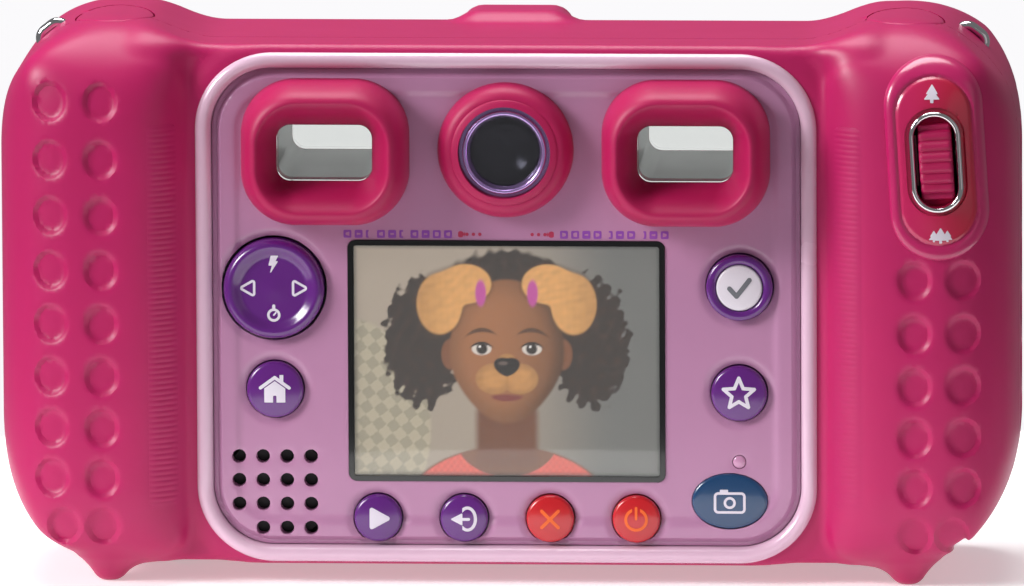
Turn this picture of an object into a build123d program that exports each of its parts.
from build123d import *

import os

# Child's digital camera with a lens on each side, as separate pieces.
# X runs across the camera, Y from the screen side (-Y) to the front lens (+Y), Z up.
# The origin is on the table under the middle of the camera. All sizes are millimetres.

# Overall form
WIDTH = 160.0              # across both grips
HEIGHT = 89.0              # table to the top of the grips
DEPTH = 60.0               # crest of the eyecups to the rim of the front lens
WALL = 2.2                 # housing wall
FOOT_HEIGHT = 2.0          # grips' underside above the table
MIDDLE_LIFT = 3.5          # underside of the middle above the table
MIDDLE_DROP = 3.8          # top of the middle below the grip tops
EYECUP_PROUD = 9.0         # eyecups stand out of the face plate
GRIP_PROUD = 7.0           # grips stand out of the face plate
BODY_DEPTH = 34.0          # face plate to the front wall
GRIP_FRONT_PROUD = 7.0     # grips stand out of the front wall
PARTING = 9.0              # seam of the two housing halves, in front of the face plate

# Grips
GRIP_WIDTH = 34.0
GRIP_ROUND = 14.0          # corner radius seen from above
GRIP_INNER_ROUND = 10.0    # corner radii seen from behind
GRIP_LOW_ROUND = 19.0
GRIP_HIGH_ROUND = 22.0
GRIP_TOP_BACK_ROUND = 20.0  # corner radii seen from the side
GRIP_TOP_FRONT_ROUND = 16.0
GRIP_SOLE_ROUND = 10.0
FOOT_X = 17.3              # feet, inward from the outer side
FOOT_BACK_Y = 9.8          # rear feet, in front of the grips' rear crest
FOOT_FRONT_Y = 2.4         # front feet, behind the grips' front crest
FOOT_TIP_RADIUS = 1.5
FOOT_ROOT_RADIUS = 2.4

# Flash hump on the top of the middle
HUMP_BASE = 18.6
HUMP_TOP = 10.8
HUMP_LOW = 74.0
HUMP_SHOULDER = 3.0
HUMP_RISE = 1.6            # top of the hump above the top of the middle
HUMP_BACK = 7.0
HUMP_PROUD = 2.5

# Face plate and its raised rim
FACE_WIDTH = 97.4
FACE_HEIGHT = 80.7
FACE_RADIUS = 12.2
RIM_BAND = 2.6
RIM_PROUD = 1.4
PLATE_THICKNESS = 2.4
PLATE_LIP = 1.0            # thickness of the plate's lip under the rim
LIP_MARGIN = 0.4           # lip's edge inside the rim's edge
LEDGE = 1.8                # housing ledge that carries the plate
LEDGE_MARGIN = 0.4         # ledge's window outside the rim's band
LEDGE_REACH = 2.0          # ledge reaches under the housing past the rim

# Fits, each a gap between two faces
SEAT = 0.05                # a piece glued or pressed in its seat
SLIP = 0.15                # a button in its hole
RUN = 0.05                 # a shaft in its bearing
LIFT = 0.1                 # between stacked pieces that must not touch
TILT_GAP = 0.35            # round the four-way pad, which tilts

# Eyepieces, windows and light tunnels
VIEW_X = 28.2
VIEW_Z = 68.6
CUP_WIDTH = 26.3
CUP_HEIGHT = 22.9
CUP_RADIUS = 8.6
CUP_EDGE = 3.4
CUP_MOUTH = 5.0            # cup wall at the mouth
WINDOW_WIDTH = 15.0
WINDOW_HEIGHT = 8.9
WINDOW_RADIUS = 2.2
WINDOW_THICKNESS = 1.5
WINDOW_SUNK = 6.6          # rear window below the eyecup's crest
TUNNEL_WALL = 1.2

# Rear lens
LENS_Z = 68.9
BEZEL_RADIUS = 10.65
BEZEL_PROUD = 4.4
BEZEL_BORE = 7.2
REAR_RING_RADIUS = 7.15
REAR_RING_BORE = 5.5
REAR_RING_SUNK = 0.5
REAR_GLASS_SUNK = 1.6

# Screen
LCD_Z = 35.4
LCD_WIDTH = 49.7
LCD_HEIGHT = 38.2
LCD_RADIUS = 1.3
LCD_BORDER = 0.8
LCD_GLASS = 0.8
LCD_MODULE = 2.5
LCD_MODULE_MARGIN = 0.7

# Buttons: place (x, z), radius and how far each stands out of the face plate
BUTTONS = {
    "home_button": (-36.3, 30.8, 4.45, 1.2),
    "ok_button": (36.5, 47.3, 5.2, 1.3),
    "star_button": (36.4, 30.5, 4.38, 1.2),
    "play_button": (-20.25, 10.5, 3.75, 1.1),
    "effects_button": (-6.75, 10.5, 3.75, 1.1),
    "delete_button": (6.75, 10.5, 3.75, 1.1),
    "power_button": (20.25, 10.5, 3.75, 1.1),
}
BUTTON_TRAVEL = 0.8
BUTTON_FLANGE = 0.5
BUTTON_FLANGE_THICKNESS = 1.0
BUTTON_STEM = 1.5
BUTTON_EDGE = 0.45
OK_CAP_RADIUS = 3.6
OK_CAP_DEPTH = 1.2
OK_CAP_PROUD = 0.2

# Four-way pad on its ball
PAD_X = -36.4
PAD_Z = 46.8
PAD_RADIUS = 7.9
PAD_PROUD = 1.7
PAD_DISH = 0.7
PAD_DISH_RADIUS = 6.2
PAD_DEPTH = 4.8
PAD_NUB_RING = 4.0
PAD_NUB_RADIUS = 0.9
PIVOT_DEPTH = 1.4          # ball's centre below the face plate
BALL_RADIUS = 0.9
CUP_SHELL = 0.55
POST_RADIUS = 0.5

# Small pieces on the face plate
LED_X, LED_Z, LED_RADIUS = 36.4, 19.6, 1.0
BADGE_X, BADGE_Z, BADGE_WIDTH, BADGE_HEIGHT = 34.9, 13.4, 11.9, 8.8
BADGE_PROUD = 0.6
BADGE_SUNK = 0.6
HOLE_RADIUS = 1.05
HOLE_PITCH = 3.76
HOLE_X, HOLE_Z = -36.4, 14.5
SPEAKER_RADIUS = 8.4
SPEAKER_DEPTH = 3.7

# Boards behind the face plate
SHEET = 0.8                # silicone sheet
DOME = 0.7
DOME_RADIUS = 1.5
BOARD = 1.6
BOARD_WIDTH = 90.0
BOARD_TOP = 55.0
BOARD_GAP = 0.8            # board above the housing's floor

# Shutter caps in the grip tops
SHUTTER_X = 18.0           # inward from the outer side
SHUTTER_Y = -9.0
SHUTTER_RX, SHUTTER_RY = 6.1, 7.6
SHUTTER_TRAVEL = 1.0
SHUTTER_DEPTH = 6.9        # cap's flat underside below the grip's top
SHUTTER_LIP = 0.8
SHUTTER_STEM = 2.0
SHUTTER_STEM_LENGTH = 3.6
SWITCH_SIZE = 6.0
SWITCH_HEIGHT = 3.8
SHELF = 1.6

# Zoom rocker on the right grip
ZOOM_X = 12.5              # inward from the outer side
ZOOM_Z = 68.3
ZOOM_LEAN = -3.5
ZOOM_PANEL_WIDTH = 14.7
ZOOM_PANEL_HEIGHT = 31.0
ZOOM_PANEL_PROUD = 0.9
ZOOM_PANEL_SUNK = 1.4
ZOOM_SLOT_WIDTH = 6.5
ZOOM_SLOT_HEIGHT = 14.3
ZOOM_WIRE = 0.8
ZOOM_WIRE_DEPTH = 0.8
ROCKER_RADIUS = 11.5
ROCKER_WIDTH = 5.2
ROCKER_PROUD = 1.9         # crown above the grip's crest
ROCKER_GAP = 0.4
ROCKER_RIDGES = 7
RIDGE_PITCH = 9.0          # degrees between ridges
RIDGE_DEPTH = 0.35
AXLE_RADIUS = 1.0
EAR = 1.6

# Strap loops on the outer shoulders
STRAP_X, STRAP_Z = 8.0, 5.0  # inward from the outer side, down from the top
STRAP_Y = -3.0
STRAP_SLOPE = -38.0
STRAP_SPAN = 4.6
STRAP_RISE = 1.7
STRAP_ROOT = 4.0
STRAP_WIRE = 0.8

# Batteries, their boxes and doors
CELL_X = 14.0              # inward from the outer side
CELL_Y = 0.6
CELL_RADIUS = 7.15
CELL_LENGTH = 50.5
CELL_PITCH = 14.8
CELL_Z = 14.0
CELL_GAP = 0.4
BOX_WALL = 1.1
BOX_LOW = 12.6
CONTACT = 0.5
SPRING_HEIGHT = 3.0
DOOR_INNER, DOOR_OUTER = 30.0, 5.0  # inward from the outer side
DOOR_LENGTH = 29.4
DOOR_GAP = 0.2
DOOR_RADIUS = 3.0
DOOR_PAD_LOW, DOOR_PAD_HIGH = 6.0, 10.0
SCREW_X = 26.4             # inward from the outer side
SCREW_HEAD = 2.8
SCREW_HEAD_HEIGHT = 1.6
SCREW_SHANK = 1.25
SCREW_SLOT = 0.8
BOSS = 3.2

# Connector cover under the middle
FLAP_WIDTH = 24.0
FLAP_BACK, FLAP_FRONT = -4.0, 5.2
FLAP_THICKNESS = 1.4
FLAP_BARREL = 0.7
FLAP_GAP = 0.2

# Front
FASCIA_WIDTH = 88.0
FASCIA_HEIGHT = 64.0
FASCIA_Z = 41.5
FASCIA_RADIUS = 14.0
FASCIA_THICKNESS = 1.8
FRONT_LENS_Z = 42.0
BARREL_RADIUS = 17.0
BARREL_BORE = 13.5
BARREL_SET = 1.5           # barrel's rim behind the ring's rim
RING_RADIUS = 15.4
RING_BORE = 12.2
RING_DEPTH = 3.0
LENS_GLASS_EDGE = 2.0
LENS_DOME = 1.6
FLASH_WIDTH, FLASH_HEIGHT, FLASH_Z = 12.0, 7.0, 81.0
CASE_SCREW_X, CASE_SCREW_LOW, CASE_SCREW_HIGH = 50.5, 24.0, 77.5
CASE_BORE = 3.1
CASE_BOSS = 4.3

# Levels along Y and Z that follow from the sizes above
EYECUP_Y = -DEPTH / 2
BARREL_Y = DEPTH / 2
PLATE_Y = EYECUP_Y + EYECUP_PROUD
PLATE_BACK = PLATE_Y + PLATE_THICKNESS
GRIP_BACK = PLATE_Y - GRIP_PROUD
FRONT_Y = PLATE_Y + BODY_DEPTH
FRONT_INNER = FRONT_Y - WALL
GRIP_FRONT = FRONT_Y + GRIP_FRONT_PROUD
PARTING_Y = PLATE_Y + PARTING
MIDDLE_TOP = HEIGHT - MIDDLE_DROP
FACE_Z = MIDDLE_LIFT + FACE_HEIGHT / 2
HALF = WIDTH / 2
GRIP_INNER = HALF - GRIP_WIDTH
FLANGE_Y = PLATE_BACK + LIFT
STEM_Y = FLANGE_Y + BUTTON_FLANGE_THICKNESS + 1.3
SHEET_Y = STEM_Y + BUTTON_TRAVEL + LIFT + DOME
BOARD_Y = SHEET_Y + SHEET
PIVOT_Y = PLATE_Y + PIVOT_DEPTH
ZOOM_AT = (HALF - ZOOM_X, 0, ZOOM_Z)
ROCKER_Y = GRIP_BACK - ROCKER_PROUD + ROCKER_RADIUS
RIM_SET = PLATE_BACK - PLATE_LIP
BOX_TOP = CELL_Z + CELL_LENGTH + SPRING_HEIGHT + BOX_WALL


# Basic shapes

def outline(points, radii):
    """Closed outline through corner points, each corner rounded by its own radius."""
    return make_face(FilletPolyline(*points, radius=radii, close=True))


def along_x(sketch, low, high):
    """Carry a (y, z) sketch along X."""
    return extrude(Plane.YZ.offset(low) * sketch, high - low)


def along_y(sketch, low, high):
    """Carry an (x, z) sketch along Y."""
    return extrude(Plane.XZ.offset(-high) * sketch, high - low)


def along_z(sketch, low, high):
    """Carry an (x, y) sketch along Z."""
    return extrude(Plane.XY.offset(low) * sketch, high - low)


def block(x_low, x_high, y_low, y_high, z_low, z_high):
    """Rectangular block between two corners."""
    size = (x_high - x_low, y_high - y_low, z_high - z_low)
    middle = ((x_low + x_high) / 2, (y_low + y_high) / 2, (z_low + z_high) / 2)
    return Pos(*middle) * Box(*size)


def rod_y(x, z, radius, low, high):
    """Round rod along Y."""
    return along_y(Pos(x, z) * Circle(radius), low, high)


def rod_z(x, y, radius, low, high):
    """Round rod along Z."""
    return along_z(Pos(x, y) * Circle(radius), low, high)


def rounded(x, z, width, height, radius):
    """Rounded rectangle sketch about a point."""
    return Pos(x, z) * RectangleRounded(width, height, radius)


def turned(profile, x, z):
    """Turn an (r, y) profile about an axis along Y at (x, z)."""
    face = make_face(Polyline(*[(r, y, 0) for r, y in profile], close=True))
    return Pos(x, 0, z) * revolve(face, Axis.Y)


def mirrored(shape):
    """The same shape on the left-hand side."""
    return mirror(shape, Plane.YZ)


def edges_at(shape, y):
    """Edges that lie at one level along Y."""
    return shape.edges().filter_by_position(Axis.Y, y - 0.01, y + 0.01)


# Housing

def grip_form(inset):
    """Right grip: the common part of its outlines from behind, above and the side."""
    x_high = HALF - inset
    y_low, y_high = GRIP_BACK + inset, GRIP_FRONT - inset
    z_low, z_high = FOOT_HEIGHT + inset, HEIGHT - inset
    behind = outline(
        [(GRIP_INNER, z_low), (x_high, z_low), (x_high, z_high), (GRIP_INNER, z_high)],
        [r - inset for r in (GRIP_INNER_ROUND, GRIP_LOW_ROUND, GRIP_HIGH_ROUND, GRIP_INNER_ROUND)],
    )
    above = outline(
        [(GRIP_INNER, y_low), (x_high, y_low), (x_high, y_high), (GRIP_INNER, y_high)],
        [GRIP_ROUND - inset] * 4,
    )
    side = outline(
        [(y_low, z_low), (y_high, z_low), (y_high, z_high), (y_low, z_high)],
        [r - inset for r in (GRIP_SOLE_ROUND, GRIP_SOLE_ROUND, GRIP_TOP_FRONT_ROUND, GRIP_TOP_BACK_ROUND)],
    )
    form = along_y(behind, y_low, y_high) & along_z(above, z_low, z_high)
    return form & along_x(side, GRIP_INNER, x_high)


def middle_form(inset):
    """Slab between the grips, rounded along its top and its front lower edge."""
    low, high = PLATE_Y + inset, FRONT_Y - inset
    bottom, top = MIDDLE_LIFT + inset, MIDDLE_TOP - inset
    side = outline([(low, bottom), (high, bottom), (high, top), (low, top)], [0.5, 4, 5 - inset, 5 - inset])
    reach = GRIP_INNER + GRIP_ROUND
    return along_x(side, -reach, reach)


def hump_form(inset):
    """Flash hump: a tower on the front that rises over the top of the middle."""
    base, top = HUMP_BASE / 2 - inset, HUMP_TOP / 2 - inset / 2
    high = MIDDLE_TOP + HUMP_RISE - inset
    points = [(-base, HUMP_LOW), (base, HUMP_LOW), (base, high - HUMP_SHOULDER), (top, high),
              (-top, high), (-base, high - HUMP_SHOULDER)]
    shape = outline(points, [0, 0, 1, 1.2, 1.2, 1])
    return along_y(shape, HUMP_BACK + inset, FRONT_Y + HUMP_PROUD - inset)


def body_form(inset):
    """Whole housing as one solid, moved inward by the inset."""
    grip = grip_form(inset)
    return middle_form(inset) + grip + mirrored(grip) + hump_form(inset)


def feet():
    """Four short tapered feet under the grips."""
    x = HALF - FOOT_X
    height = FOOT_HEIGHT + WALL + 2.5
    foot = Cone(FOOT_TIP_RADIUS, FOOT_ROOT_RADIUS, height, align=(Align.CENTER, Align.CENTER, Align.MIN))
    places = [(side * x, y) for side in (-1, 1) for y in (GRIP_BACK + FOOT_BACK_Y, GRIP_FRONT - FOOT_FRONT_Y)]
    return [Pos(a, b, 0) * foot for a, b in places]


def face_outline(inset):
    """Outline of the face, moved inward from the rim's outer edge."""
    return rounded(0, FACE_Z, FACE_WIDTH - 2 * inset, FACE_HEIGHT - 2 * inset, FACE_RADIUS - inset)


def door_prism(gap):
    """Upright prism round one battery door's outline."""
    x_low, x_high = HALF - DOOR_INNER + gap, HALF - DOOR_OUTER - gap
    shape = Pos((x_low + x_high) / 2, CELL_Y) * RectangleRounded(
        x_high - x_low, DOOR_LENGTH - 2 * gap, DOOR_RADIUS)
    return along_z(shape, -1, DOOR_PAD_HIGH + 1)


def shutter_prism(grow):
    """Upright prism round one shutter cap."""
    shape = Pos(HALF - SHUTTER_X, SHUTTER_Y) * Ellipse(SHUTTER_RX + grow, SHUTTER_RY + grow)
    return along_z(shape, HEIGHT - 16, HEIGHT + 1)


def zoom_frame(shape):
    """Move a piece from the zoom rocker's own frame to its leaning place."""
    return Location(ZOOM_AT, (0, ZOOM_LEAN, 0)) * shape


def zoom_prism(grow):
    """Oval of the zoom panel, carried along Y."""
    width, height = ZOOM_PANEL_WIDTH + 2 * grow, ZOOM_PANEL_HEIGHT + 2 * grow
    return zoom_frame(along_y(RectangleRounded(width, height, width / 2 - 0.05), GRIP_BACK - 2, GRIP_BACK + 12))


def case_screw_places():
    """Places (x, z) of the four housing screws."""
    return [(side * CASE_SCREW_X, z) for side in (-1, 1) for z in (CASE_SCREW_LOW, CASE_SCREW_HIGH)]


def housing():
    """Both housing halves."""
    outer, inner = body_form(0), body_form(WALL)
    shell = outer - inner
    for foot in feet():
        shell += foot - inner
    for side in (1, -1):
        door, cap = door_prism(0), shutter_prism(SLIP)
        shell -= door if side == 1 else mirrored(door)
        shell -= cap if side == 1 else mirrored(cap)
    # Recess of the connector cover and the opening behind it
    half = FLAP_WIDTH / 2
    floor = MIDDLE_LIFT + FLAP_THICKNESS + FLAP_GAP
    shell -= block(-half - FLAP_GAP, half + FLAP_GAP, FLAP_BACK - FLAP_GAP, FLAP_FRONT + FLAP_BARREL + FLAP_GAP,
                   0, floor)
    shell -= block(-half + 1.5, half - 1.5, FLAP_BACK + 1, FLAP_FRONT - 1.5, 0, MIDDLE_LIFT + WALL + 1)
    rear = shell & block(-WIDTH, WIDTH, GRIP_BACK - 5, PARTING_Y, -1, HEIGHT + 5)
    front = shell & block(-WIDTH, WIDTH, PARTING_Y, FRONT_Y + 20, -1, HEIGHT + 5)
    return rear_half(rear), front_half(front)


def rear_half(rear):
    """Rear housing: seat and ledge of the face, zoom opening and screw posts."""
    rear -= along_y(face_outline(-SEAT), EYECUP_Y - 5, PLATE_BACK)
    ledge_outline = face_outline(-LEDGE_REACH) - face_outline(RIM_BAND - LEDGE_MARGIN)
    rear += along_y(ledge_outline, PLATE_BACK, PLATE_BACK + LEDGE) & body_form(0.5)
    for x, z in case_screw_places():
        rear += rod_y(x, z, BOSS, PLATE_BACK + LEDGE, PARTING_Y)
        rear -= rod_y(x, z, SCREW_SHANK + RUN, PLATE_BACK + LEDGE + 1, PARTING_Y + 1)
    # The panel's seat goes part of the way into the wall; the rocker's opening goes through
    seat = zoom_prism(SEAT) & (grip_form(-2) - grip_form(ZOOM_PANEL_SUNK + SEAT))
    opening = zoom_frame(along_y(
        RectangleRounded(ROCKER_WIDTH + 2 * EAR + 2 * ROCKER_GAP + 1, 2 * ROCKER_RADIUS, 1), GRIP_BACK - 1, ROCKER_Y))
    return rear - seat - opening


def front_half(front):
    """Front housing: lens, viewfinder and flash openings, screw wells and switch shelves."""
    reach = HALF - SHUTTER_X
    shelf_top = shutter_switch_top() - SWITCH_HEIGHT
    shelf = block(reach - 5, reach + 5, PARTING_Y + LIFT, GRIP_FRONT, shelf_top - SHELF, shelf_top)
    front += (shelf + mirrored(shelf)) & body_form(1)
    for x, z in case_screw_places():
        front += rod_y(x, z, CASE_BOSS, PARTING_Y, FRONT_Y - 1) & body_form(1)
        front -= rod_y(x, z, SCREW_SHANK + RUN, PARTING_Y - 1, FRONT_Y)
        front -= rod_y(x, z, CASE_BORE, FRONT_Y - 10, FRONT_Y + 10)
    front -= rod_y(0, FRONT_LENS_Z, BARREL_RADIUS + SEAT, FRONT_INNER - 1, FRONT_Y + 1)
    front -= along_y(rounded(0, FLASH_Z, FLASH_WIDTH, FLASH_HEIGHT, 2), FRONT_Y - 3, FRONT_Y + HUMP_PROUD + 1)
    for side in (-1, 1):
        window = rounded(side * VIEW_X, VIEW_Z, WINDOW_WIDTH, WINDOW_HEIGHT, WINDOW_RADIUS)
        front -= along_y(window, FRONT_INNER - 1, FRONT_Y + 1)
    return front


# Face

def face_rim():
    """Raised frame round the face plate."""
    band = face_outline(0) - face_outline(RIM_BAND)
    rim = along_y(band, PLATE_Y - RIM_PROUD, RIM_SET)
    return fillet(edges_at(rim, PLATE_Y - RIM_PROUD), RIM_BAND / 2 - 0.3)


def face_plate():
    """Plate that carries the screen, lenses and buttons, with a lip under the rim."""
    plate = along_y(face_outline(RIM_BAND + SEAT), PLATE_Y, PLATE_BACK)
    plate += along_y(face_outline(LIP_MARGIN), RIM_SET, PLATE_BACK)
    low, high = PLATE_Y - 1, PLATE_BACK + 1
    for x, z, radius, _ in BUTTONS.values():
        plate -= rod_y(x, z, radius + SLIP, low, high)
    plate -= rod_y(PAD_X, PAD_Z, PAD_RADIUS + TILT_GAP, low, high)
    plate -= along_y(rounded(0, LCD_Z, LCD_WIDTH, LCD_HEIGHT, LCD_RADIUS), low, high)
    plate -= rod_y(0, LENS_Z, BEZEL_RADIUS - 1.5 + SEAT, low, high)
    for side in (-1, 1):
        plate -= along_y(cup_outline(side, 2 - SEAT), low, high)
    plate -= rod_y(LED_X, LED_Z, LED_RADIUS + SEAT, low, high)
    badge = Pos(BADGE_X, BADGE_Z) * Ellipse(BADGE_WIDTH / 2 + SEAT, BADGE_HEIGHT / 2 + SEAT)
    plate -= along_y(badge, low, PLATE_Y + BADGE_SUNK)
    for column in range(4):
        for row in range(4):
            if (column, row) != (0, 0):
                x = HOLE_X + (column - 1.5) * HOLE_PITCH
                plate -= rod_y(x, HOLE_Z + (row - 1.5) * HOLE_PITCH, HOLE_RADIUS, low, high)
    return plate


def cup_outline(side, inset):
    """Outline of an eyepiece, moved inward."""
    return rounded(side * VIEW_X, VIEW_Z, CUP_WIDTH - 2 * inset, CUP_HEIGHT - 2 * inset, CUP_RADIUS - inset)


def window_outline(side, grow):
    """Outline of a viewfinder window, moved outward."""
    return rounded(side * VIEW_X, VIEW_Z, WINDOW_WIDTH + 2 * grow, WINDOW_HEIGHT + 2 * grow, WINDOW_RADIUS + grow)


def eyepiece(side):
    """Cushion-shaped cup with a funnel that narrows to the window."""
    cup = along_y(cup_outline(side, 0), EYECUP_Y, PLATE_Y)
    cup = fillet(edges_at(cup, EYECUP_Y), CUP_EDGE)
    cup += along_y(cup_outline(side, 2), PLATE_Y, PLATE_BACK)
    mouth = Plane.XZ.offset(-EYECUP_Y) * cup_outline(side, CUP_MOUTH)
    throat = Plane.XZ.offset(-EYECUP_Y - WINDOW_SUNK) * window_outline(side, 0)
    cup -= loft([mouth, throat])
    return cup - along_y(window_outline(side, 0), EYECUP_Y + WINDOW_SUNK, PLATE_BACK + 1)


def eyepiece_windows():
    """Clear panes at the bottom of both eyecups."""
    low = EYECUP_Y + WINDOW_SUNK
    return [along_y(window_outline(side, -SEAT), low, low + WINDOW_THICKNESS) for side in (-1, 1)]


def viewfinder_tunnels():
    """Black tunnels from the eyecups to the front windows."""
    shapes = []
    for side in (-1, 1):
        tube = window_outline(side, TUNNEL_WALL) - window_outline(side, 0)
        shapes.append(along_y(tube, PLATE_BACK, FRONT_INNER))
    return shapes


def front_windows():
    """Clear panes of the viewfinder in the front wall."""
    return [along_y(window_outline(side, -SEAT), FRONT_INNER, FRONT_Y + 1.4) for side in (-1, 1)]


def rear_lens_bezel():
    """Domed ring round the rear lens."""
    top = PLATE_Y - BEZEL_PROUD
    ring = rod_y(0, LENS_Z, BEZEL_RADIUS, top, PLATE_Y)
    ring = fillet(edges_at(ring, top), 3.2)
    ring += rod_y(0, LENS_Z, BEZEL_RADIUS - 1.5, PLATE_Y, PLATE_BACK)
    return ring - rod_y(0, LENS_Z, BEZEL_BORE, top - 1, PLATE_BACK + 1)


def rear_lens_ring():
    """Metal-look ring that slopes in to the glass."""
    top = PLATE_Y - BEZEL_PROUD + REAR_RING_SUNK
    glass = top + REAR_GLASS_SUNK
    outer, bore = REAR_RING_RADIUS, REAR_RING_BORE
    return turned([(outer, top), (outer, PLATE_BACK), (bore, PLATE_BACK), (bore, glass), (outer - 0.6, top)],
                  0, LENS_Z)


def rear_lens_glass():
    """Slightly domed cover glass."""
    low = PLATE_Y - BEZEL_PROUD + REAR_RING_SUNK + REAR_GLASS_SUNK
    glass = rod_y(0, LENS_Z, REAR_RING_BORE - SEAT, low, low + 1.2)
    return fillet(edges_at(glass, low), 0.3)


def rear_lens_module():
    """Camera module behind the rear glass."""
    low = PLATE_Y - BEZEL_PROUD + REAR_RING_SUNK + REAR_GLASS_SUNK + 1.4
    return rod_y(0, LENS_Z, 4.2, low, PLATE_BACK + 1) + block(-6, 6, PLATE_BACK + 1, PLATE_BACK + 6,
                                                              LENS_Z - 6, LENS_Z + 6)


def lcd_bezel():
    """Black frame of the screen."""
    width, height = LCD_WIDTH - 2 * SEAT, LCD_HEIGHT - 2 * SEAT
    frame = rounded(0, LCD_Z, width, height, LCD_RADIUS)
    frame -= rounded(0, LCD_Z, width - 2 * LCD_BORDER, height - 2 * LCD_BORDER, 0.5)
    return along_y(frame, PLATE_Y - 0.2, PLATE_BACK)


def lcd_opening(gap):
    """Outline inside the screen's frame."""
    inset = SEAT + LCD_BORDER + gap
    return rounded(0, LCD_Z, LCD_WIDTH - 2 * inset, LCD_HEIGHT - 2 * inset, 0.5)


def lcd_window():
    """Clear cover of the screen."""
    return along_y(lcd_opening(SEAT), PLATE_Y, PLATE_Y + LCD_GLASS)


def lcd_panel():
    """Screen with its wider module behind the plate."""
    low = PLATE_Y + LCD_GLASS + LIFT
    seat = PLATE_BACK + LIFT
    margin = 2 * LCD_MODULE_MARGIN
    body = rounded(0, LCD_Z, LCD_WIDTH + margin, LCD_HEIGHT + margin, 0.8)
    return along_y(lcd_opening(SEAT), low, seat) + along_y(body, seat, seat + LCD_MODULE)


# Buttons

def push_button(name):
    """Round button: cap, flange that stays under the plate, and a stem."""
    x, z, radius, proud = BUTTONS[name]
    cap = rod_y(x, z, radius, PLATE_Y - proud, FLANGE_Y)
    cap = fillet(edges_at(cap, PLATE_Y - proud), BUTTON_EDGE)
    flange_end = FLANGE_Y + BUTTON_FLANGE_THICKNESS
    cap += rod_y(x, z, radius + BUTTON_FLANGE, FLANGE_Y, flange_end)
    return cap + rod_y(x, z, BUTTON_STEM, flange_end, STEM_Y)


def ok_button():
    """Confirm button with a seat for its pale cap."""
    x, z, _, proud = BUTTONS["ok_button"]
    top = PLATE_Y - proud
    return push_button("ok_button") - rod_y(x, z, OK_CAP_RADIUS + SEAT, top - 1, top + OK_CAP_DEPTH)


def ok_cap():
    """Pale cap in the confirm button."""
    x, z, _, proud = BUTTONS["ok_button"]
    top = PLATE_Y - proud - OK_CAP_PROUD
    cap = rod_y(x, z, OK_CAP_RADIUS, top, top + OK_CAP_PROUD + OK_CAP_DEPTH)
    return fillet(edges_at(cap, top), 0.3)


def nav_pad():
    """Four-way pad: dished top, ball pocket and four nubs underneath."""
    top = PLATE_Y - PAD_PROUD
    base = top + PAD_DEPTH
    pad = rod_y(PAD_X, PAD_Z, PAD_RADIUS, top, base)
    pad = fillet(edges_at(pad, top), 0.8)
    sphere = (PAD_DISH_RADIUS ** 2 + PAD_DISH ** 2) / (2 * PAD_DISH)
    pad -= Pos(PAD_X, top + PAD_DISH - sphere, PAD_Z) * Sphere(sphere)
    pocket = BALL_RADIUS + RUN + CUP_SHELL + RUN
    pad -= Pos(PAD_X, PIVOT_Y, PAD_Z) * Sphere(pocket)
    pad -= rod_y(PAD_X, PAD_Z, pocket + 0.4, PIVOT_Y, base + 1)
    for dx, dz in ((1, 0), (-1, 0), (0, 1), (0, -1)):
        pad += rod_y(PAD_X + dx * PAD_NUB_RING, PAD_Z + dz * PAD_NUB_RING, PAD_NUB_RADIUS, base, STEM_Y)
    return pad


def nav_gimbal():
    """Snap cup between the ball and the pad."""
    outer, inner = BALL_RADIUS + RUN + CUP_SHELL, BALL_RADIUS + RUN
    cup = Sphere(outer) - Sphere(inner) - block(-3, 3, 0.6, 3, -3, 3)
    return Pos(PAD_X, PIVOT_Y, PAD_Z) * cup


def nav_post():
    """Fixed post with the ball that the pad tilts on."""
    ball = Pos(PAD_X, PIVOT_Y, PAD_Z) * Sphere(BALL_RADIUS)
    return ball + rod_y(PAD_X, PAD_Z, POST_RADIUS, PIVOT_Y, BOARD_Y)


def status_led():
    """Clear light pipe of the status lamp."""
    return rod_y(LED_X, LED_Z, LED_RADIUS, PLATE_Y - 0.2, PLATE_BACK)


def badge():
    """Plain oval badge."""
    shape = Pos(BADGE_X, BADGE_Z) * Ellipse(BADGE_WIDTH / 2, BADGE_HEIGHT / 2)
    plate = along_y(shape, PLATE_Y - BADGE_PROUD, PLATE_Y + BADGE_SUNK)
    return fillet(edges_at(plate, PLATE_Y - BADGE_PROUD), 0.4)


def speaker():
    """Loudspeaker behind the holes."""
    low = PLATE_BACK + LIFT
    can = rod_y(HOLE_X, HOLE_Z, SPEAKER_RADIUS, low, low + 1.5)
    return can + rod_y(HOLE_X, HOLE_Z, SPEAKER_RADIUS - 3, low + 1.5, low + SPEAKER_DEPTH)


def button_places():
    """Centres of every dome on the silicone sheet."""
    places = [(x, z) for x, z, _, _ in BUTTONS.values()]
    ring = PAD_NUB_RING
    return places + [(PAD_X + ring, PAD_Z), (PAD_X - ring, PAD_Z), (PAD_X, PAD_Z + ring), (PAD_X, PAD_Z - ring)]


def board_outline():
    """Outline shared by the silicone sheet and the main board."""
    low = MIDDLE_LIFT + WALL + BOARD_GAP
    return rounded(0, (low + BOARD_TOP) / 2, BOARD_WIDTH, BOARD_TOP - low, 2)


def keypad():
    """Silicone sheet with a dome under each button."""
    sheet = along_y(board_outline(), SHEET_Y, SHEET_Y + SHEET)
    for x, z in button_places():
        sheet += rod_y(x, z, DOME_RADIUS, SHEET_Y - DOME, SHEET_Y)
    return sheet - rod_y(PAD_X, PAD_Z, POST_RADIUS + SLIP, SHEET_Y - 1, SHEET_Y + SHEET + 1)


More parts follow.
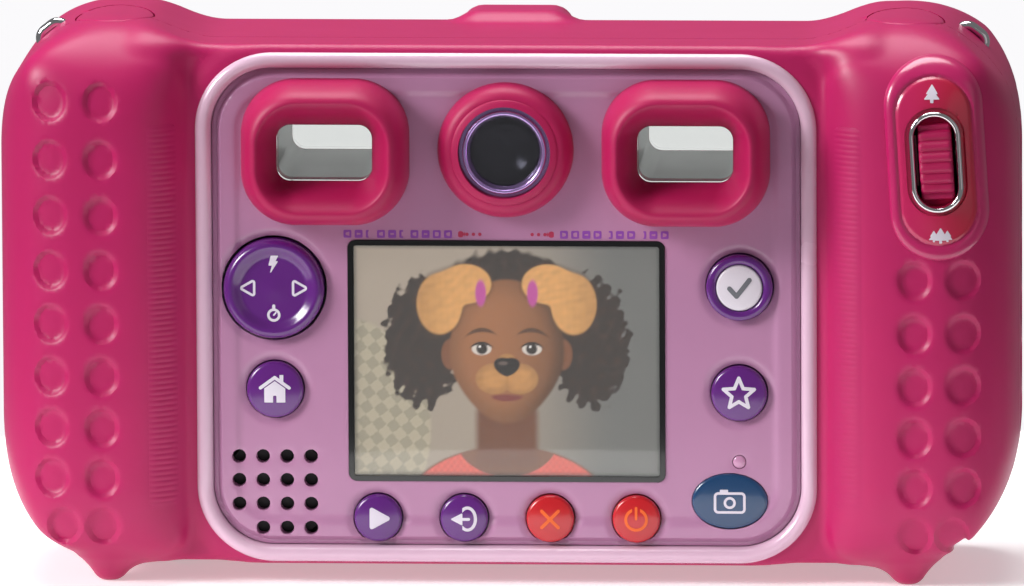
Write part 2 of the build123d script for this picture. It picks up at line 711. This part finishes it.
def main_board():
    """Main circuit board with its processor and memory."""
    board = along_y(board_outline(), BOARD_Y, BOARD_Y + BOARD)
    board += block(-8, 8, BOARD_Y + BOARD, BOARD_Y + BOARD + 1.4, 22, 38)
    return board + block(14, 26, BOARD_Y + BOARD, BOARD_Y + BOARD + 1.2, 24, 34)


# Shutter caps

def shutter_switch_top():
    """Top of the switch under a shutter cap."""
    return HEIGHT - SHUTTER_DEPTH - SHUTTER_STEM_LENGTH - SHUTTER_TRAVEL - LIFT


def shutter_right():
    """Cap flush with the grip's top, its lip under the wall, and its stem."""
    base = HEIGHT - SHUTTER_DEPTH
    cap = (shutter_prism(0) & grip_form(0)) + (shutter_prism(SHUTTER_LIP) & grip_form(WALL + LIFT))
    cap &= block(0, WIDTH, GRIP_BACK, GRIP_FRONT, base, HEIGHT + 1)
    return cap + rod_z(HALF - SHUTTER_X, SHUTTER_Y + 1, SHUTTER_STEM, base - SHUTTER_STEM_LENGTH, base)


def shutter_switches():
    """Switches on the shelves under both caps."""
    top = shutter_switch_top()
    x, y, half = HALF - SHUTTER_X, SHUTTER_Y + 1, SWITCH_SIZE / 2
    switch = block(x - half, x + half, y - half, y + half, top - SWITCH_HEIGHT, top - 0.6)
    switch += rod_z(x, y, 1.5, top - 0.6, top)
    return [switch, mirrored(switch)]


# Zoom rocker

def rocker_space(radius, half_width):
    """Round space about the rocker's axle, in the rocker's own frame."""
    return Pos(0, ROCKER_Y, 0) * Rotation(0, 90, 0) * Cylinder(radius, 2 * half_width)


def zoom_panel():
    """Glossy oval that follows the grip, with two ears for the axle."""
    panel = zoom_prism(0) & (grip_form(-ZOOM_PANEL_PROUD) - grip_form(ZOOM_PANEL_SUNK))
    width, height = ZOOM_SLOT_WIDTH + 2 * ZOOM_WIRE, ZOOM_SLOT_HEIGHT + 2 * ZOOM_WIRE
    collar = RectangleRounded(width + 1, height + 1, width / 2 + 0.45)
    panel += zoom_frame(along_y(collar, GRIP_BACK - ZOOM_PANEL_PROUD, GRIP_BACK + ZOOM_PANEL_SUNK))
    local = along_y(RectangleRounded(ZOOM_SLOT_WIDTH, ZOOM_SLOT_HEIGHT, ZOOM_SLOT_WIDTH / 2 - 0.05),
                    GRIP_BACK - 4, GRIP_BACK + 6)
    groove = along_y(RectangleRounded(width, height, width / 2 - 0.05), GRIP_BACK - 4,
                     zoom_wire_low() + ZOOM_WIRE_DEPTH)
    inner = ROCKER_WIDTH / 2 + ROCKER_GAP
    panel -= zoom_frame(local + groove + rocker_space(ROCKER_RADIUS + ROCKER_GAP, inner))
    ear = block(inner, inner + EAR, GRIP_BACK + ZOOM_PANEL_SUNK - 0.5, ROCKER_Y + 2.4, -4, 4)
    ears = ear + mirrored(ear) - rocker_space(AXLE_RADIUS, inner + EAR + 1)
    return panel + zoom_frame(ears)


def zoom_wire_low():
    """Rear face of the chrome ring."""
    return GRIP_BACK - ZOOM_PANEL_PROUD - 0.5


def zoom_ring():
    """Chrome ring round the rocker's slot."""
    width, height = ZOOM_SLOT_WIDTH, ZOOM_SLOT_HEIGHT
    outer = RectangleRounded(width + 2 * ZOOM_WIRE - 2 * SEAT, height + 2 * ZOOM_WIRE - 2 * SEAT,
                             width / 2 + ZOOM_WIRE - SEAT - 0.05)
    ring = outer - RectangleRounded(width, height, width / 2 - 0.05)
    low = zoom_wire_low()
    wire = along_y(ring, low, low + ZOOM_WIRE_DEPTH)
    return zoom_frame(fillet(edges_at(wire, low), 0.25))


def zoom_rocker():
    """Ridged rocker: a segment of a disc with a round hub on the axle."""
    half = ROCKER_WIDTH / 2
    disc = rocker_space(ROCKER_RADIUS, half) & block(-half, half, ROCKER_Y - ROCKER_RADIUS, ROCKER_Y - 1, -8.6, 8.6)
    disc += rocker_space(2.2, half)
    for step in range(ROCKER_RIDGES + 1):
        angle = (step - ROCKER_RIDGES / 2) * RIDGE_PITCH
        groove = Pos(0, -ROCKER_RADIUS - 0.45, 0) * Rotation(0, 90, 0) * Cylinder(0.45 + RIDGE_DEPTH, 2 * half + 1)
        disc -= Pos(0, ROCKER_Y, 0) * Rotation(angle, 0, 0) * groove
    return zoom_frame(disc - rocker_space(AXLE_RADIUS + RUN, half + 1))


def zoom_axle():
    """Steel pin through the ears and the rocker."""
    return zoom_frame(rocker_space(AXLE_RADIUS, ROCKER_WIDTH / 2 + ROCKER_GAP + EAR))


# Strap loops

def strap_lug():
    """Wire staple whose two legs go into the right shoulder."""
    half = STRAP_SPAN / 2
    path = FilletPolyline((-half, -STRAP_ROOT), (-half, STRAP_RISE), (half, STRAP_RISE), (half, -STRAP_ROOT),
                          radius=[1.6, 1.6])
    section = Plane(path @ 0, z_dir=path % 0) * Circle(STRAP_WIRE)
    wire = sweep(section, path)
    place = Location((HALF - STRAP_X, STRAP_Y, HEIGHT - STRAP_Z), (90, 0, 0))
    return place * Rotation(0, 0, STRAP_SLOPE) * wire


# Batteries

def cell_places():
    """Places (x, y) of the right grip's two cells."""
    return [(HALF - CELL_X, CELL_Y + step * CELL_PITCH / 2) for step in (-1, 1)]


def cell_slot(grow, low, high):
    """Upright stadium-shaped solid round a pair of cells."""
    shape = Pos(HALF - CELL_X, CELL_Y) * Rot(0, 0, 90) * SlotCenterToCenter(CELL_PITCH, 2 * (CELL_RADIUS + grow))
    return along_z(shape, low, high)


def battery_box():
    """Right battery box, open below, with the door screw's threaded ear."""
    box = cell_slot(CELL_GAP + BOX_WALL, BOX_LOW, BOX_TOP)
    x = HALF - SCREW_X
    ear = block(x, HALF - CELL_X, CELL_Y - 2.5, CELL_Y + 2.5, BOX_LOW, BOX_LOW + 4)
    box += ear + rod_z(x, CELL_Y, BOSS, BOX_LOW - 4, BOX_LOW + 4)
    box -= cell_slot(CELL_GAP, BOX_LOW - 5, BOX_TOP - BOX_WALL)
    return box - rod_z(x, CELL_Y, SCREW_SHANK + RUN, BOX_LOW - 5, BOX_LOW + 3)


def battery_cells():
    """Right pair of cells, one of each pair upside down."""
    cells = []
    for (x, y), up in zip(cell_places(), (True, False)):
        cell = rod_z(x, y, CELL_RADIUS, CELL_Z + (0 if up else 1), CELL_Z + CELL_LENGTH - (1 if up else 0))
        nub_low = CELL_Z + CELL_LENGTH - 1 if up else CELL_Z
        cells.append(cell + rod_z(x, y, 2.7, nub_low, nub_low + 1))
    return cells


def battery_contacts():
    """Contact plates in the right box and the springs above them."""
    parts = []
    for x, y in cell_places():
        low = CELL_Z + CELL_LENGTH
        plate = rod_z(x, y, 4, BOX_TOP - BOX_WALL - CONTACT, BOX_TOP - BOX_WALL)
        spring = Pos(x, y, low) * Cone(2.2, 3.6, SPRING_HEIGHT - CONTACT, align=(Align.CENTER, Align.CENTER, Align.MIN))
        parts.append(plate + spring)
    return parts


def battery_door():
    """Right door: a piece of the grip's underside with a pad that reaches the cells."""
    door = door_prism(DOOR_GAP) & ((grip_form(0) + middle_form(0)) - (grip_form(WALL) + middle_form(WALL)))
    door += cell_slot(-0.5, DOOR_PAD_LOW, DOOR_PAD_HIGH) & grip_form(1)
    x = HALF - SCREW_X
    door += rod_z(x, CELL_Y, BOSS, MIDDLE_LIFT + 1, MIDDLE_LIFT + WALL + 1.4)
    head_top = MIDDLE_LIFT + 0.4 + SCREW_HEAD_HEIGHT
    door -= rod_z(x, CELL_Y, SCREW_HEAD + SLIP, 0, head_top)
    return door - rod_z(x, CELL_Y, SCREW_SHANK + SLIP, 0, MIDDLE_LIFT + 10)


def door_screw():
    """Slotted screw that locks the right door."""
    x = HALF - SCREW_X
    low = MIDDLE_LIFT + 0.4
    screw = rod_z(x, CELL_Y, SCREW_HEAD, low, low + SCREW_HEAD_HEIGHT)
    screw -= block(x - SCREW_HEAD, x + SCREW_HEAD, CELL_Y - SCREW_SLOT / 2, CELL_Y + SCREW_SLOT / 2, low - 1, low + 0.9)
    return screw + rod_z(x, CELL_Y, SCREW_SHANK, low + SCREW_HEAD_HEIGHT, BOX_LOW + 2)


def door_contact():
    """Plate on the right door that joins the two cells."""
    return cell_slot(-2.5, DOOR_PAD_HIGH, DOOR_PAD_HIGH + CONTACT)


# Connector cover and ports

def connector_cover():
    """Rubber flap with a rolled hinge along its front edge."""
    half = FLAP_WIDTH / 2
    low, high = MIDDLE_LIFT, MIDDLE_LIFT + FLAP_THICKNESS
    flap = block(-half, half, FLAP_BACK, FLAP_FRONT, low, high)
    barrel = Pos(0, FLAP_FRONT, (low + high) / 2) * Rotation(0, 90, 0) * Cylinder(FLAP_BARREL, 2 * half)
    return flap + barrel


def port_board():
    """Small board with the charging socket and the memory-card slot."""
    floor = MIDDLE_LIFT + WALL + 0.4
    board = block(-13, 13, FLAP_BACK, FLAP_FRONT, floor + 8, floor + 9.6)
    socket = block(-9.5, -2, -1.5, 1.5, floor, floor + 8) - block(-8.8, -2.7, -0.8, 0.8, floor - 1, floor + 5)
    card = block(0.5, 10, -1.5, 1.5, floor, floor + 8) - block(1, 9.5, -0.7, 0.7, floor - 1, floor + 6)
    return board + socket + card


# Front

def front_fascia():
    """Pale panel on the front wall."""
    panel = along_y(rounded(0, FASCIA_Z, FASCIA_WIDTH, FASCIA_HEIGHT, FASCIA_RADIUS), FRONT_Y,
                    FRONT_Y + FASCIA_THICKNESS)
    panel = fillet(edges_at(panel, FRONT_Y + FASCIA_THICKNESS), 0.8)
    panel -= rod_y(0, FRONT_LENS_Z, BARREL_RADIUS + SEAT, FRONT_Y - 1, FRONT_Y + 5)
    for side in (-1, 1):
        panel -= along_y(window_outline(side, 0), FRONT_Y - 1, FRONT_Y + 5)
    return panel


def front_lens_barrel():
    """Short fixed lens barrel with a seat for the ring and a step for the glass."""
    rim = BARREL_Y - BARREL_SET
    barrel = rod_y(0, FRONT_LENS_Z, BARREL_RADIUS, FRONT_INNER, rim)
    barrel = fillet(edges_at(barrel, rim), 1.2)
    barrel -= rod_y(0, FRONT_LENS_Z, BARREL_BORE - 1.5, FRONT_INNER - 1, rim + 1)
    barrel -= rod_y(0, FRONT_LENS_Z, BARREL_BORE + SEAT, BARREL_Y - RING_DEPTH - LENS_GLASS_EDGE, rim + 1)
    return barrel - rod_y(0, FRONT_LENS_Z, RING_RADIUS + SEAT, BARREL_Y - RING_DEPTH, rim + 1)


def front_lens_ring():
    """Ring that slopes in from the rim to the glass."""
    low, high = BARREL_Y - RING_DEPTH, BARREL_Y
    profile = [(RING_RADIUS, low), (RING_RADIUS, high - 0.4), (RING_RADIUS - 0.5, high), (RING_RADIUS - 1.2, high),
               (RING_BORE, low + 0.6), (RING_BORE, low)]
    return turned(profile, 0, FRONT_LENS_Z)


def front_lens_glass():
    """Cover glass: a flat edge under the ring and a shallow dome inside it."""
    low = BARREL_Y - RING_DEPTH - LENS_GLASS_EDGE
    high = BARREL_Y - RING_DEPTH
    glass = rod_y(0, FRONT_LENS_Z, BARREL_BORE, low, high)
    edge = RING_BORE - SEAT
    sphere = (edge ** 2 + LENS_DOME ** 2) / (2 * LENS_DOME)
    cap = (Pos(0, high + LENS_DOME - sphere, FRONT_LENS_Z) * Sphere(sphere))
    return glass + (cap & rod_y(0, FRONT_LENS_Z, edge, high - 0.1, high + LENS_DOME + 1))


def front_lens_module():
    """Camera module with a stepped lens tube."""
    tip = BARREL_Y - RING_DEPTH - LENS_GLASS_EDGE - 1
    tube = rod_y(0, FRONT_LENS_Z, 8, FRONT_INNER - 4, tip - 2) + rod_y(0, FRONT_LENS_Z, 6, tip - 2, tip)
    tube -= rod_y(0, FRONT_LENS_Z, 3.6, tip - 1.2, tip + 1)
    flange = rod_y(0, FRONT_LENS_Z, BARREL_BORE - 1.5 - SEAT, FRONT_INNER - 4, FRONT_INNER)
    board = block(-12, 12, FRONT_INNER - 5.6, FRONT_INNER - 4, FRONT_LENS_Z - 12, FRONT_LENS_Z + 12)
    return tube + flange + board


def flash_window():
    """Clear window of the flash."""
    return along_y(rounded(0, FLASH_Z, FLASH_WIDTH - 2 * SEAT, FLASH_HEIGHT - 2 * SEAT, 2 - SEAT),
                   FRONT_Y + HUMP_PROUD - WALL, FRONT_Y + HUMP_PROUD + 0.4)


def flash_led():
    """Flash lamp on its small board."""
    back = FRONT_Y + HUMP_PROUD - WALL
    board = block(-4, 4, back - 4, back - 2.8, FLASH_Z - 3, FLASH_Z + 3)
    return board + block(-2.5, 2.5, back - 2.8, back - 0.6, FLASH_Z - 2, FLASH_Z + 2)


def housing_screws():
    """Four screws that hold the housing halves together."""
    screws = []
    for x, z in case_screw_places():
        seat = FRONT_Y - 10
        head = rod_y(x, z, SCREW_HEAD, seat, seat + 1.8)
        head -= block(x - 1.8, x + 1.8, seat + 1, seat + 3, z - 0.4, z + 0.4)
        head -= block(x - 0.4, x + 0.4, seat + 1, seat + 3, z - 1.8, z + 1.8)
        screws.append(head + rod_y(x, z, SCREW_SHANK, PLATE_BACK + LEDGE + 1.5, seat))
    return screws


def both(shape):
    """A shape and its left-hand copy."""
    return [mirrored(shape), shape]


def build():
    """Every piece of the camera by name."""
    rear, front = housing()
    cells, contacts = battery_cells(), battery_contacts()
    shutter, door, screw, contact = shutter_right(), battery_door(), door_screw(), door_contact()
    pieces = {
        "rear_shell": rear,
        "front_shell": front,
        "face_rim": face_rim(),
        "face_plate": face_plate(),
        "eyepiece_left": eyepiece(-1),
        "eyepiece_right": eyepiece(1),
        "eyepiece_windows": eyepiece_windows(),
        "viewfinder_tunnels": viewfinder_tunnels(),
        "front_windows": front_windows(),
        "rear_lens_bezel": rear_lens_bezel(),
        "rear_lens_ring": rear_lens_ring(),
        "rear_lens_glass": rear_lens_glass(),
        "rear_lens_module": rear_lens_module(),
        "lcd_bezel": lcd_bezel(),
        "lcd_window": lcd_window(),
        "lcd_panel": lcd_panel(),
        "nav_pad": nav_pad(),
        "nav_gimbal": nav_gimbal(),
        "nav_post": nav_post(),
        "ok_button": ok_button(),
        "ok_cap": ok_cap(),
        "status_led": status_led(),
        "badge": badge(),
        "speaker": speaker(),
        "keypad": keypad(),
        "main_board": main_board(),
        "shutter_left": mirrored(shutter),
        "shutter_right": shutter,
        "shutter_switches": shutter_switches(),
        "zoom_panel": zoom_panel(),
        "zoom_ring": zoom_ring(),
        "zoom_rocker": zoom_rocker(),
        "zoom_axle": zoom_axle(),
        "strap_lugs": both(strap_lug()),
        "battery_boxes": both(battery_box()),
        "battery_cells": cells + [mirrored(cell) for cell in cells],
        "battery_contacts": contacts + [mirrored(part) for part in contacts],
        "battery_door_left": mirrored(door),
        "battery_door_right": door,
        "door_screw_left": mirrored(screw),
        "door_screw_right": screw,
        "door_contact_left": mirrored(contact),
        "door_contact_right": contact,
        "connector_cover": connector_cover(),
        "port_board": port_board(),
        "front_fascia": front_fascia(),
        "front_lens_barrel": front_lens_barrel(),
        "front_lens_ring": front_lens_ring(),
        "front_lens_glass": front_lens_glass(),
        "front_lens_module": front_lens_module(),
        "flash_window": flash_window(),
        "flash_led": flash_led(),
        "housing_screws": housing_screws(),
    }
    for name in BUTTONS:
        if name not in pieces:
            pieces[name] = push_button(name)
    return pieces


os.makedirs("parts", exist_ok=True)
for node, piece in build().items():
    shape = Compound(children=piece) if isinstance(piece, list) else piece
    export_step(shape, f"parts/{node}.step")
